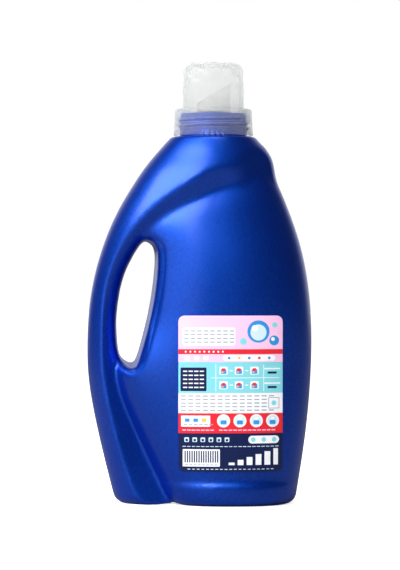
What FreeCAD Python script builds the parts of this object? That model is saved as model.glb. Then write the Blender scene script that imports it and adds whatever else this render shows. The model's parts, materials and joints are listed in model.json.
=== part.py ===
"""Laundry detergent bottle with a hollow side handle, a pour spout, a dosing cap and two labels.

Frame: +Z up, X across the bottle with the handle at -X, the photographed back at -Y.
The origin is on the table, under the middle of the bottle. Millimetres.
"""

import FreeCAD, Part
import math
import os
import Sketcher

doc = FreeCAD.newDocument("LaundryBottle")

# Driving dimensions: name, value, meaning
SIZES = [
    ("body_height", 241.2, "table to the flat shoulder under the cap"),
    ("body_width", 147.8, "across the handle and the body"),
    ("body_depth", 90.0, "front panel to back panel"),
    ("wall", 0.9, "blown wall"),
    ("base_round", 6.0, "radius round the foot of the body"),
    ("base_rise", 3.0, "push-up under the base"),
    ("base_rim", 12.0, "standing rim outside the push-up"),
    ("panel_step", 1.3, "base band proud of the label panels"),
    ("handle_grip", 5.0, "rounding of the hole on the handle side"),
    ("body_grip", 8.0, "rounding of the hole on the body side"),
    ("neck_offset", 9.2, "neck axis from the middle of the width"),
    ("neck_radius", 22.0, "outside of the neck below the thread"),
    ("neck_wall", 1.9, "wall of the neck"),
    ("neck_height", 15.2, "shoulder to the rim of the neck"),
    ("thread_pitch", 3.8, "rise of both threads in one turn"),
    ("thread_bead", 1.2, "radius of the neck's round thread"),
    ("thread_start", 5.2, "shoulder to the middle of the thread's start"),
    ("thread_rise", 7.2, "height that each thread climbs"),
    ("thread_drop", 1.3, "start of the cap's thread below the start of the neck's"),
    ("tooth_reach", 0.9, "ratchet tooth proud of the neck"),
    ("tooth_width", 1.6, "ratchet tooth along the neck"),
    ("tooth_height", 1.8, "ratchet tooth up the neck"),
    ("tooth_step", 9.0, "degrees from one tooth to the next"),
    ("tooth_start", 250.0, "direction of the first tooth from +X, in degrees"),
    ("cap_wall", 1.2, "wall of the cap"),
    ("cap_bead", 0.8, "radius of the cap's round thread"),
    ("thread_gap", 0.3, "between the crests of the two threads"),
    ("skirt_gap", 0.9, "between the neck's thread and the top of the skirt"),
    ("skirt_taper", 0.8, "skirt wider at its foot"),
    ("skirt_height", 17.4, "height of the cap's skirt"),
    ("skirt_lift", 0.8, "gap between shoulder and skirt"),
    ("skirt_edge", 1.2, "bevel round the top of the skirt"),
    ("cup_radius", 20.1, "outside of the cap's narrow cup"),
    ("cup_height", 30.5, "top of the skirt to the top of the crown"),
    ("crown_wave", 1.3, "swirl ridge proud of the crown"),
    ("crown_twist", 130.0, "degrees that a ridge turns on its way up"),
    ("flange_thickness", 1.0, "spout flange on the rim of the neck"),
    ("spout_gap", 0.1, "spout skirt clear of the neck's bore"),
    ("spout_wall", 1.2, "wall of the spout"),
    ("spout_depth", 11.0, "rim of the neck to the edge of the drain floor"),
    ("floor_fall", 3.0, "fall of the drain floor to the tube"),
    ("tube_radius", 11.5, "outside of the pouring tube"),
    ("tube_height", 19.0, "flange to the tip of the tube"),
    ("tube_slant", 30.0, "degrees that the tube's mouth leans"),
    ("slot_width", 7.0, "drain slot in the back of the tube"),
    ("back_label_width", 67.5, "across the photographed label"),
    ("back_label_height", 101.0, "up the photographed label"),
    ("front_label_width", 74.0, "across the other label"),
    ("front_label_height", 106.0, "up the other label"),
    ("label_middle_x", 20.2, "middle of the labels from the middle of the width"),
    ("label_middle_z", 73.3, "middle of the labels from the table"),
    ("label_corner", 4.0, "corner radius of the labels"),
    ("label_film", 0.25, "thickness of a label"),
    ("label_gap", 0.05, "adhesive between label and body"),
]

sheet = doc.addObject("Spreadsheet::Sheet", "Sizes")
for row, (alias, value, meaning) in enumerate(SIZES, start=1):
    sheet.set(f"A{row}", alias)
    sheet.set(f"B{row}", str(value))
    sheet.set(f"C{row}", meaning)
    sheet.setAlias(f"B{row}", alias)
doc.recompute()


def size(alias):
    """Value of one named dimension."""
    return float(sheet.get(alias))


# Outlines of the body, drawn in mm on a bottle of this height, width and depth
DRAWN_HEIGHT = 241.2
DRAWN_WIDTH = 147.8
DRAWN_DEPTH = 82.4

HANDLE_SIDE = [
    (0.0, -55.2), (24.1, -61.4), (55.8, -68.7), (87.5, -73.5), (103.3, -73.9), (135.0, -71.9),
    (166.7, -64.4), (194.4, -52.6), (210.2, -43.2), (219.0, -37.3), (228.4, -29.9),
]
BODY_SIDE = [
    (0.0, 62.8), (24.1, 66.8), (51.8, 70.6), (91.4, 73.6), (111.2, 73.9), (146.9, 71.2),
    (174.6, 65.1), (198.3, 56.6), (210.2, 51.2), (222.0, 42.5), (233.0, 30.0),
]
CORE_SIDE = [
    (0.0, -21.5), (18.5, -30.6), (49.2, -44.5), (76.9, -55.4), (90.0, -56.4), (104.0, -51.0),
    (117.0, -45.1), (133.6, -41.5), (166.7, -41.5), (183.0, -43.0), (199.0, -32.0), (210.2, -22.5),
    (222.0, -10.0), (233.0, 2.0),
]
SHOULDER_SIDE = [
    (0.0, 40.0), (135.0, 48.0), (194.4, 50.5), (210.2, 50.8), (219.0, 49.6), (228.4, 47.5),
]
CORE_DEPTH = [
    (0.0, 39.6), (60.0, 41.2), (104.0, 41.2), (133.6, 40.7), (166.7, 37.6), (183.0, 34.6),
    (199.0, 31.0), (210.2, 27.2), (222.0, 22.5), (233.0, 15.0),
]
HULL_DEPTH = [
    (0.0, 31.0), (55.8, 33.0), (111.2, 32.5), (135.0, 33.5), (166.7, 36.0), (194.4, 36.5),
    (210.2, 34.6), (219.0, 32.8), (228.4, 30.0),
]

# What lies between the neck's axis and the outside of the skirt's foot
SKIRT_PARTS = ("neck_radius", "thread_bead", "skirt_gap", "cap_wall", "skirt_taper")

# Corner fullness of the level sections: 2 is an ellipse, more is squarer
CORE_SQUARENESS = 2.35
HULL_SQUARENESS = 2.05
PUSH_UP_SQUARENESS = 2.2

# Limits that keep the worked-out walls sound where an outline turns in steeply
STEEPEST = 1.5
WIDEST_SHARE = 0.97
SHOULDER_STEEPNESS = 1.3

# Levels at which each outline is cut
CORE_LEVELS = [
    11.5, 16.5, 30.0, 51.8, 76.9, 91.4, 104.0, 117.0, 133.6, 150.0, 166.7, 183.0, 199.0, 210.2,
    222.0, 233.0,
]
HULL_LEVELS = [24.1, 55.8, 87.5, 111.2, 135.0, 166.7, 194.4, 210.2, 219.0, 228.4]
BASE_BAND_TOP = 14.0

# Ridge of the shoulder and handle: x, z, width of the bevel beside it, and its fall towards the core
RIDGE = [
    (60.0, 229.0, 18.0, -3.0), (43.1, 228.0, 17.0, -1.0), (27.1, 224.6, 15.8, 2.6),
    (12.0, 219.3, 12.8, 4.7), (-4.9, 210.7, 10.8, 4.7), (-21.7, 200.4, 9.8, 4.3),
    (-38.3, 185.6, 7.8, 4.4), (-51.6, 167.6, 8.6, 4.9), (-61.4, 139.8, 9.0, 5.2),
    (-63.6, 108.0, 9.2, 5.3), (-62.9, 86.1, 9.7, 4.8), (-57.9, 58.3, 11.5, 4.9),
    (-50.4, 30.5, 15.6, 5.6), (-44.0, 12.2, 17.8, 5.6), (-36.5, -8.0, 20.0, 5.8),
]

# How far the band's section runs outside the ridge and inside it, and its least half-depth
BAND_OUTWARD = 60.0
BAND_INWARD = 26.0
BAND_LEAST = 2.0

# Hole between handle and body, at its narrowest in the middle plane: x, z, counter-clockwise
HOLE = [
    (-29.0, 166.7), (-31.9, 170.9), (-35.6, 172.4), (-39.6, 169.9), (-46.3, 158.7), (-51.6, 144.5),
    (-54.6, 127.0), (-54.9, 113.0), (-53.4, 99.3), (-50.0, 93.6), (-44.6, 91.3), (-40.3, 97.2),
    (-36.0, 112.5), (-32.4, 128.0), (-30.2, 141.5), (-28.7, 156.0),
]

# Depths at which the hole is cut, and where its rounding starts and how deep it runs on each side
HOLE_LEVELS = (-45, -32, -28, -24, -18, -12, -6, 6, 12, 18, 24, 28, 32, 45)
HANDLE_ROUNDING = (3.0, 11.0)
BODY_ROUNDING = (18.0, 15.0)
ROUNDING_END = 0.95
FLARE_SLOPE = 0.15

# Push-up under the base: share of its half-depth set in, and share of its rise; it starts below the foot
PUSH_UP = [(-0.04, -1.0), (0.0, 0.0), (0.09, 0.7), (0.3, 1.0)]
PUSH_UP_NARROWING = 4.0

# Crown of the cap: below its top, set in from the cup, share of the ridges, share of their twist
CROWN = [
    (18.0, 0.0, 0.0, 0.0), (13.0, 0.0, 0.3, 0.18), (8.0, 0.3, 0.7, 0.38), (3.6, 0.9, 0.95, 0.56),
    (1.0, 3.0, 1.0, 0.66), (0.0, 6.2, 0.9, 0.74), (0.5, 11.2, 0.6, 0.87), (1.3, 15.6, 0.15, 1.0),
]
CROWN_FOLDS = 6
FOLD_SWELL = 0.5
FOLD_CREST = 0.12

TEETH_IN_GROUP = 5

RING_POINTS = 24
CROWN_POINTS = 12 * CROWN_FOLDS
ROUND_STEPS = 3


def wide(x):
    """An outline's x on this bottle."""
    return x * size("body_width") / DRAWN_WIDTH


def tall(z):
    """An outline's height on this bottle."""
    return z * size("body_height") / DRAWN_HEIGHT


def deep(y):
    """An outline's depth on this bottle."""
    return y * size("body_depth") / DRAWN_DEPTH


def along(outline, z):
    """Smooth value of a drawn outline at a drawn height: cubic between its points."""
    last = len(outline) - 1
    step = 0
    while step < last - 1 and z > outline[step + 1][0]:
        step += 1
    (z0, v0), (z1, v1) = outline[step], outline[step + 1]
    before = outline[max(step - 1, 0)]
    after = outline[min(step + 2, last)]
    slope0 = (v1 - before[1]) / (z1 - before[0])
    slope1 = (after[1] - v0) / (after[0] - z0)
    t = (z - z0) / (z1 - z0)
    if t <= 0:
        return v0 + slope0 * (z - z0)
    if t >= 1:
        return v1 + slope1 * (z - z1)
    rise = z1 - z0
    return (
        (2 * t**3 - 3 * t**2 + 1) * v0
        + (t**3 - 2 * t**2 + t) * rise * slope0
        + (3 * t**2 - 2 * t**3) * v1
        + (t**3 - t**2) * rise * slope1
    )


def closed_curve(points):
    """Smooth closed curve through points, with even parameters so that sections match."""
    curve = Part.BSplineCurve()
    curve.interpolate(
        Points=points,
        PeriodicFlag=True,
        Parameters=[float(step) for step in range(len(points) + 1)],
    )
    return curve


def open_curve(points, marks):
    """Smooth curve through points at given parameters."""
    curve = Part.BSplineCurve()
    curve.interpolate(Points=points, Parameters=marks)
    return curve


def closed_solid(faces):
    """Solid inside faces that meet edge to edge."""
    shell = Part.Shell(faces)
    shell.sewShape()
    return Part.Solid(shell)


def skin(rings):
    """Solid under one smooth surface through rings of points, flat at both ends."""
    marks = [0.0]
    for before, after in zip(rings, rings[1:]):
        gaps = [near.distanceToPoint(far) for near, far in zip(before, after)]
        marks.append(marks[-1] + sum(gaps) / len(gaps))
    sections = [closed_curve(points) for points in rings]
    poles = [section.getPoles() for section in sections]
    strands = [open_curve(list(column), marks) for column in zip(*poles)]
    surface = Part.BSplineSurface()
    surface.buildFromPolesMultsKnots(
        [strand.getPoles() for strand in strands],
        sections[0].getMultiplicities(),
        strands[0].getMultiplicities(),
        sections[0].getKnots(),
        strands[0].getKnots(),
        True,
        False,
        sections[0].Degree,
        strands[0].Degree,
    )
    ends = [Part.Face(Part.Wire([surface.vIso(mark).toShape()])) for mark in (marks[0], marks[-1])]
    return closed_solid([surface.toShape()] + ends)


def level_ring(left, right, depth, squareness, height):
    """Level section: a superellipse from left to right, the same front and back."""
    middle = (left + right) / 2
    reach = (right - left) / 2
    points = []
    for step in range(RING_POINTS):
        turn = 2 * math.pi * step / RING_POINTS
        across = math.cos(turn)
        out = math.sin(turn)
        x = middle + reach * math.copysign(abs(across) ** (2 / squareness), across)
        y = depth * math.copysign(abs(out) ** (2 / squareness), out)
        points.append(FreeCAD.Vector(x, y, height))
    return points


def steepness(outline, z, stretch):
    """How much further in a wall of even thickness lies on a sloping outline."""
    slope = (along(outline, z + 0.5) - along(outline, z - 0.5)) * stretch
    return math.sqrt(1 + min(slope * slope, STEEPEST))


def solid_of(left, right, depth, levels, squareness, inset, step_out=0.0, top_ring=None):
    """Solid between drawn outlines, set in by a wall, with a round foot.

    The base band stands out front and back by step_out, and a top ring may close it above."""
    foot = size("base_round") - inset
    rings = []

    def ring_at(z, edge, height):
        lean_x = wide(1) / tall(1)
        lean_y = deep(1) / tall(1)
        x0 = wide(along(left, z)) + edge + inset * steepness(left, z, lean_x)
        x1 = wide(along(right, z)) - edge - inset * steepness(right, z, lean_x)
        y1 = deep(along(depth, z)) - edge - inset * steepness(depth, z, lean_y)
        if z < BASE_BAND_TOP:
            y1 += step_out
        rings.append(level_ring(x0, x1, y1, squareness, height))

    for step in range(ROUND_STEPS + 1):
        turn = math.pi / 2 * step / ROUND_STEPS
        height = inset + foot * (1 - math.cos(turn))
        ring_at(height / tall(1), foot * (1 - math.sin(turn)), height)
    for z in levels:
        ring_at(z, 0, tall(z))
    if top_ring:
        rings.append(top_ring)
    return skin(rings)


def core_solid(inset):
    """Egg-shaped body that carries the labels."""
    return solid_of(
        CORE_SIDE,
        BODY_SIDE,
        CORE_DEPTH,
        CORE_LEVELS,
        CORE_SQUARENESS,
        inset,
        step_out=size("panel_step"),
    )


def skirt_radius():
    """Outside of the cap's skirt at its foot, round the neck and both threads."""
    return sum(size(name) for name in SKIRT_PARTS)


def shoulder_radius():
    """The flat shoulder ends just outside the cap's skirt."""
    return skirt_radius() + size("skirt_lift")


def hull_solid(inset):
    """Envelope of the shoulder and the handle, up to the flat ring round the neck."""
    radius = shoulder_radius() - inset * SHOULDER_STEEPNESS
    axis = size("neck_offset")
    height = size("body_height") - inset
    top = level_ring(axis - radius, axis + radius, radius, 2.0, height)
    return solid_of(
        HANDLE_SIDE,
        SHOULDER_SIDE,
        HULL_DEPTH,
        HULL_LEVELS,
        HULL_SQUARENESS,
        inset,
        top_ring=top,
    )


def hull_reach(x, z):
    """Half-depth of the envelope at a drawn point."""
    left = along(HANDLE_SIDE, z)
    right = along(SHOULDER_SIDE, z)
    share = min(abs((2 * x - left - right) / (right - left)), WIDEST_SHARE)
    return along(HULL_DEPTH, z) * (1 - share**HULL_SQUARENESS) ** (1 / HULL_SQUARENESS)


def band_solid(inset):
    """Region left of and above the ridge, with its bevel falling towards the core."""
    sections = []
    for step, (x, z, width, fall) in enumerate(RIDGE):
        before = RIDGE[max(step - 1, 0)]
        after = RIDGE[min(step + 1, len(RIDGE) - 1)]
        run_x = wide(after[0] - before[0])
        run_z = tall(after[1] - before[1])
        run = math.hypot(run_x, run_z)
        away = FreeCAD.Vector(run_z / run, 0, -run_x / run)
        slope = fall / width
        reach = deep(hull_reach(x, max(z, 0))) - inset * math.sqrt(1 + slope * slope)
        ridge = FreeCAD.Vector(wide(x), 0, tall(z))
        nose = ridge - away * BAND_INWARD
        back = ridge + away * BAND_OUTWARD
        nose_reach = FreeCAD.Vector(0, max(reach - slope * BAND_INWARD, BAND_LEAST), 0)
        back_reach = FreeCAD.Vector(0, reach + slope * BAND_OUTWARD, 0)
        sections.append(
            [nose + nose_reach, back + back_reach, back - back_reach, nose - nose_reach]
        )
    marks = [float(step) for step in range(len(sections))]
    rails = [open_curve(list(corners), marks).toShape() for corners in zip(*sections)]
    faces = []
    for step, rail in enumerate(rails):
        faces.append(Part.makeRuledSurface(rail, rails[(step + 1) % len(rails)]))
    for section in (sections[0], sections[-1]):
        faces.append(Part.Face(Part.makePolygon(section + [section[0]])))
    return closed_solid(faces)


def grip_flare(y, rounding, reach):
    """How far the hole opens at y: a quarter ellipse, then straight on."""
    start, depth = rounding
    share = (y - start) / depth
    if share <= 0:
        return 0.0
    rounded = min(share, ROUNDING_END)
    flare = reach * (1 - math.sqrt(1 - rounded * rounded))
    return flare + (share - rounded) * depth * FLARE_SLOPE


def hole_solid(wall):
    """Tool for the finger hole: narrow in the middle plane, flaring to both faces."""
    sections = []
    for y in HOLE_LEVELS:
        points = []
        for step, (x, z) in enumerate(HOLE):
            before = HOLE[step - 1]
            after = HOLE[(step + 1) % len(HOLE)]
            run_x = wide(after[0] - before[0])
            run_z = tall(after[1] - before[1])
            run = math.hypot(run_x, run_z)
            away_x = run_z / run
            away_z = -run_x / run
            body_share = (1 + away_x) / 2
            handle_flare = grip_flare(abs(y), HANDLE_ROUNDING, size("handle_grip"))
            body_flare = grip_flare(abs(y), BODY_ROUNDING, size("body_grip"))
            flare = wall + body_share * body_flare + (1 - body_share) * handle_flare
            points.append(
                FreeCAD.Vector(wide(x) + away_x * flare, deep(y), tall(z) + away_z * flare)
            )
        sections.append(points)
    return skin(sections)


def push_up_solid(wall):
    """Shallow dome under the base, inside the standing rim."""
    rings = []
    rim = size("base_rim")
    rise = size("base_rise") + wall
    left = wide(along(HANDLE_SIDE, 0)) + rim
    right = wide(along(BODY_SIDE, 0)) - rim
    depth = deep(along(CORE_DEPTH, 0) - PUSH_UP_NARROWING) - rim
    for share, height in PUSH_UP:
        inset = share * depth - wall
        level = height if height < 0 else height * rise
        rings.append(
            level_ring(left + inset, right - inset, depth - inset, PUSH_UP_SQUARENESS, level)
        )
    return skin(rings)


def feature(name, shape):
    """Document object that holds a shape made from the sheet's sizes."""
    item = doc.addObject("Part::Feature", name)
    item.Shape = shape
    item.Placement = FreeCAD.Placement()
    return item


def common(name, base, tool):
    item = doc.addObject("Part::Common", name)
    item.Base = base
    item.Tool = tool
    return item


def cut(name, base, tool):
    item = doc.addObject("Part::Cut", name)
    item.Base = base
    item.Tool = tool
    return item


def fuse(name, items):
    item = doc.addObject("Part::MultiFuse", name)
    item.Shapes = items
    return item


def place(item, **expressions):
    """Bind an object's position to the sheet: x, y or z by expression."""
    for axis, expression in expressions.items():
        item.setExpression(f"Placement.Base.{axis}", expression)
    return item


def cylinder(name, radius, height, bottom):
    """Cylinder on the neck's axis."""
    item = doc.addObject("Part::Cylinder", name)
    item.setExpression("Radius", radius)
    item.setExpression("Height", height)
    return place(item, x="Sizes.neck_offset", z=bottom)


def body_solid(name, inset):
    """Core plus the shoulder and handle, less the finger hole and the push-up."""
    band = common(
        name + "Crescent",
        feature(name + "Hull", hull_solid(inset)),
        feature(name + "Band", band_solid(inset)),
    )
    joined = fuse(name + "Joined", [feature(name + "Core", core_solid(inset)), band])
    holed = cut(name + "Holed", joined, feature(name + "Hole", hole_solid(inset)))
    return cut(name + "Body", holed, feature(name + "PushUp", push_up_solid(inset)))


def round_thread(name, radius, bead_radius, bottom):
    """Round bead wound on a helix about the neck's axis."""
    helix = doc.addObject("Part::Helix", name + "Helix")
    helix.setExpression("Pitch", "Sizes.thread_pitch")
    helix.setExpression("Height", "Sizes.thread_rise")
    helix.setExpression("Radius", radius)
    bead = doc.addObject("Part::Circle", name + "Bead")
    bead.setExpression("Radius", bead_radius)
    bead.Placement.Rotation = FreeCAD.Rotation(FreeCAD.Vector(1, 0, 0), 90)
    bead.setExpression("Placement.Base.x", radius)
    sweep = doc.addObject("Part::Sweep", name)
    sweep.Sections = [bead]
    sweep.Spine = (helix, [])
    sweep.Solid = True
    sweep.Frenet = True
    return place(sweep, x="Sizes.neck_offset", z=bottom)


def ratchet_teeth():
    """Two groups of small teeth round the foot of the neck, which stop the cap from backing off."""
    teeth = []
    sink = "Sizes.wall / 2"
    reach = "(Sizes.neck_radius - Sizes.tooth_reach)"
    for group in (0, 180):
        for step in range(TEETH_IN_GROUP):
            tooth = doc.addObject("Part::Box", f"Tooth{group}Step{step}")
            turn = f"({group} + Sizes.tooth_start + {step} * Sizes.tooth_step)"
            tooth.setExpression("Length", "2 * Sizes.tooth_reach")
            tooth.setExpression("Width", "Sizes.tooth_width")
            tooth.setExpression("Height", f"Sizes.tooth_height + {sink}")
            tooth.Placement.Rotation = FreeCAD.Rotation(FreeCAD.Vector(0, 0, 1), 90)
            tooth.setExpression("Placement.Rotation.Angle", turn + " * 1 deg")
            place(
                tooth,
                x=f"Sizes.neck_offset + {reach} * cos({turn} * 1 deg)",
                y=f"{reach} * sin({turn} * 1 deg)",
                z=f"Sizes.body_height - {sink}",
            )
            teeth.append(tooth)
    return teeth


def bottle():
    """Blown shell with its hollow handle and threaded neck."""
    outer_body = body_solid("Outer", 0)
    inner_body = body_solid("Inner", size("wall"))
    neck = cylinder(
        "NeckTube",
        "Sizes.neck_radius",
        "Sizes.neck_height + 2 * Sizes.wall",
        "Sizes.body_height - 2 * Sizes.wall",
    )
    thread = round_thread(
        "NeckThread",
        "Sizes.neck_radius",
        "Sizes.thread_bead",
        "Sizes.body_height + Sizes.thread_start",
    )
    bore = cylinder(
        "NeckBore",
        "Sizes.neck_radius - Sizes.neck_wall",
        "Sizes.neck_height + 6 * Sizes.wall",
        "Sizes.body_height - 5 * Sizes.wall",
    )
    outside = fuse("BottleOutside", [outer_body, neck, thread] + ratchet_teeth())
    inside = fuse("BottleInside", [inner_body, bore])
    return cut("Bottle", outside, inside)


def plane(body, role):
    """One of a body's own origin planes."""
    return next(item for item in body.Origin.OriginFeatures if item.Role == role)


def outline_sketch(body, name, role, corners):
    """Closed sketch with its corners pulled to the sheet's sizes: (across, up) expressions."""
    sketch = body.newObject("Sketcher::SketchObject", name)
    sketch.AttachmentSupport = [(plane(body, role), "")]
    sketch.MapMode = "FlatFace"
    count = len(corners)
    rough = []
    for step in range(count):
        turn = 2 * math.pi * step / count
        across = size("neck_radius") + 5 * math.cos(turn)
        up = size("body_height") + 5 * math.sin(turn)
        rough.append(FreeCAD.Vector(across, up, 0))
    for step in range(count):
        sketch.addGeometry(Part.LineSegment(rough[step], rough[(step + 1) % count]), False)
    for step in range(count):
        following = (step + 1) % count
        sketch.addConstraint(Sketcher.Constraint("Coincident", step, 2, following, 1))
    for step, (across, up) in enumerate(corners):
        now = rough[step]
        for kind, expression, value in (("DistanceX", across, now.x), ("DistanceY", up, now.y)):
            index = sketch.addConstraint(Sketcher.Constraint(kind, -1, 1, step, 1, value))
            sketch.setExpression(f"Constraints[{index}]", expression)
    return sketch


def turned_body(name, corners):
    """Body turned about the neck's axis from a profile of (radius, height) expressions."""
    body = doc.addObject("PartDesign::Body", name)
    sketch = outline_sketch(body, name + "Profile", "XZ_Plane", corners)
    turned = body.newObject("PartDesign::Revolution", name + "Turned")
    turned.Profile = sketch
    turned.ReferenceAxis = (sketch, ["V_Axis"])
    turned.Angle = 360
    return place(body, x="Sizes.neck_offset")


def pour_spout():
    """Drain-back fitment: flange on the rim, skirt in the bore, sloping floor and pouring tube."""
    rim = "Sizes.body_height + Sizes.neck_height"
    top = rim + " + Sizes.flange_thickness"
    tip = top + " + Sizes.tube_height"
    edge = rim + " - Sizes.spout_depth"
    drain = edge + " - Sizes.floor_fall"
    skirt = "Sizes.neck_radius - Sizes.neck_wall - Sizes.spout_gap"
    body = turned_body(
        "PourSpout",
        [
            ("Sizes.neck_radius", rim),
            ("Sizes.neck_radius", top),
            (skirt + " - Sizes.spout_wall", top),
            (skirt + " - Sizes.spout_wall", edge),
            ("Sizes.tube_radius", drain),
            ("Sizes.tube_radius", tip),
            ("Sizes.tube_radius - Sizes.spout_wall", tip),
            ("Sizes.tube_radius - Sizes.spout_wall", drain + " - Sizes.spout_wall"),
            ("Sizes.tube_radius", drain + " - Sizes.spout_wall"),
            (skirt, edge + " - Sizes.spout_wall"),
            (skirt, rim),
        ],
    )
    doc.recompute()
    mouth = body.newObject("PartDesign::SubtractiveBox", "SpoutMouth")
    mouth.setExpression("Length", "6 * Sizes.tube_radius")
    mouth.setExpression("Width", "6 * Sizes.tube_radius")
    mouth.setExpression("Height", "Sizes.tube_height")
    mouth.Placement.Rotation = FreeCAD.Rotation(FreeCAD.Vector(0, -1, 0), size("tube_slant"))
    mouth.setExpression("Placement.Rotation.Angle", "Sizes.tube_slant * 1 deg")
    slant = "(Sizes.tube_slant * 1 deg)"
    place(
        mouth,
        x=f"Sizes.tube_radius - 6 * Sizes.tube_radius * cos{slant}",
        y="-3 * Sizes.tube_radius",
        z=f"{tip} - 6 * Sizes.tube_radius * sin{slant}",
    )
    doc.recompute()
    slot = body.newObject("PartDesign::SubtractiveBox", "SpoutSlot")
    slot.setExpression("Length", "Sizes.tube_radius")
    slot.setExpression("Width", "Sizes.slot_width")
    slot.setExpression("Height", "Sizes.tube_height + Sizes.spout_depth + Sizes.floor_fall")
    place(slot, x="-1.1 * Sizes.tube_radius", y="-Sizes.slot_width / 2", z=drain)
    return body


def crown_solid(inset):
    """Narrow cup of the cap, closed above by a crown of ridges that swirl inwards."""
    base = size("body_height") + size("skirt_lift") + size("skirt_height")
    top = base + size("cup_height")
    profile = [(size("cup_radius"), base - size("cap_wall") - inset, 0.0, 0.0)]
    for below, set_in, ridge, twist in CROWN:
        profile.append((size("cup_radius") - set_in, top - below, ridge, twist))
    rings = []
    for step, (radius, height, ridge, twist) in enumerate(profile):
        before = profile[max(step - 1, 0)]
        after = profile[min(step + 1, len(profile) - 1)]
        run_in = before[0] - after[0]
        run_up = after[1] - before[1]
        run = math.hypot(run_in, run_up)
        radius -= inset * run_up / run
        height -= inset * run_in / run
        points = []
        for point in range(CROWN_POINTS):
            turn = 2 * math.pi * point / CROWN_POINTS
            swell = FOLD_SWELL * (math.cos(CROWN_FOLDS * turn) - 1)
            crest = FOLD_CREST * (math.cos(2 * CROWN_FOLDS * turn) - 1)
            reach = radius + size("crown_wave") * ridge * (swell + crest)
            angle = turn - math.radians(size("crown_twist") * twist)
            points.append(
                FreeCAD.Vector(
                    size("neck_offset") + reach * math.cos(angle),
                    reach * math.sin(angle),
                    height,
                )
            )
        rings.append(points)
    return skin(rings)


def cone(name, foot_radius, top_radius, height, bottom):
    """Cone on the neck's axis."""
    item = doc.addObject("Part::Cone", name)
    item.setExpression("Radius1", foot_radius)
    item.setExpression("Radius2", top_radius)
    item.setExpression("Height", height)
    return place(item, x="Sizes.neck_offset", z=bottom)


def dosing_cap():
    """One stepped cup, mouth down: threaded skirt round the neck, narrow cup above it."""
    foot = " + ".join("Sizes." + name for name in SKIRT_PARTS)
    head = foot + " - Sizes.skirt_taper"
    bottom = "Sizes.body_height + Sizes.skirt_lift"
    outer_skirt = cone(
        "SkirtOutside", foot, head, "Sizes.skirt_height - Sizes.skirt_edge", bottom
    )
    bevel = cone(
        "SkirtBevel",
        head,
        head + " - Sizes.skirt_edge",
        "Sizes.skirt_edge",
        bottom + " + Sizes.skirt_height - Sizes.skirt_edge",
    )
    inner_skirt = cone(
        "SkirtInside",
        foot + " - Sizes.cap_wall",
        head + " - Sizes.cap_wall",
        "Sizes.skirt_height - Sizes.cap_wall",
        bottom,
    )
    crest = "Sizes.neck_radius + Sizes.thread_bead + Sizes.thread_gap"
    thread = round_thread(
        "CapThread",
        crest + " + Sizes.cap_bead",
        "Sizes.cap_bead",
        "Sizes.body_height + Sizes.thread_start - Sizes.thread_drop",
    )
    outside = fuse("CapOutside", [outer_skirt, bevel, feature("CupOutside", crown_solid(0))])
    inside = fuse("CapInside", [inner_skirt, feature("CupInside", crown_solid(size("cap_wall")))])
    return fuse("DosingCap", [cut("CapShell", outside, inside), thread])


def label(name, side, width, height):
    """Film with round corners that follows the body's curve: side -1 is the back, 1 the front."""
    slab = doc.addObject("Part::Box", name + "Slab")
    slab.setExpression("Length", width)
    slab.setExpression("Width", "Sizes.body_depth")
    slab.setExpression("Height", height)
    place(
        slab,
        x=f"Sizes.label_middle_x - {width} / 2",
        y="0" if side > 0 else "-Sizes.body_depth",
        z=f"Sizes.label_middle_z - {height} / 2",
    )
    doc.recompute()
    rounded = doc.addObject("Part::Fillet", name + "Rounded")
    rounded.Base = slab
    rounded.Edges = [
        (index, size("label_corner"), size("label_corner"))
        for index, edge in enumerate(slab.Shape.Edges, start=1)
        if abs(edge.tangentAt(edge.FirstParameter).y) > 0.9
    ]
    under = size("label_gap")
    over = under + size("label_film")
    film = common(name + "Film", rounded, feature(name + "Over", core_solid(-over)))
    return cut(name, film, feature(name + "Under", core_solid(-under)))


def named(item, node):
    """Give a sub-part its node's name."""
    item.Label = node
    return item


subparts = [
    named(bottle(), "bottle"),
    named(pour_spout(), "pour_spout"),
    named(dosing_cap(), "dosing_cap"),
    named(label("BackLabel", -1, "Sizes.back_label_width", "Sizes.back_label_height"), "back_label"),
    named(label("FrontLabel", 1, "Sizes.front_label_width", "Sizes.front_label_height"), "front_label"),
]
doc.recompute()

for item in doc.Objects:
    if "Invalid" in item.State or "Error" in item.State:
        raise RuntimeError(f"{item.Name} failed: {item.State}")
for item in subparts:
    if item.Shape.isNull() or not item.Shape.isValid():
        raise RuntimeError(f"{item.Label} has no valid shape")

os.makedirs("parts", exist_ok=True)
for item in subparts:
    item.Shape.exportStep(f"parts/{item.Label}.step")
    print(item.Label, len(item.Shape.Solids), round(item.Shape.Volume))
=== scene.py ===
"""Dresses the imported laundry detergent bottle: blown skin, dosing cap, pour spout, labels, studio.

Metres, in the frame of the CAD part: +Z up, the handle at -X, the photographed back at -Y.
"""

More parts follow.
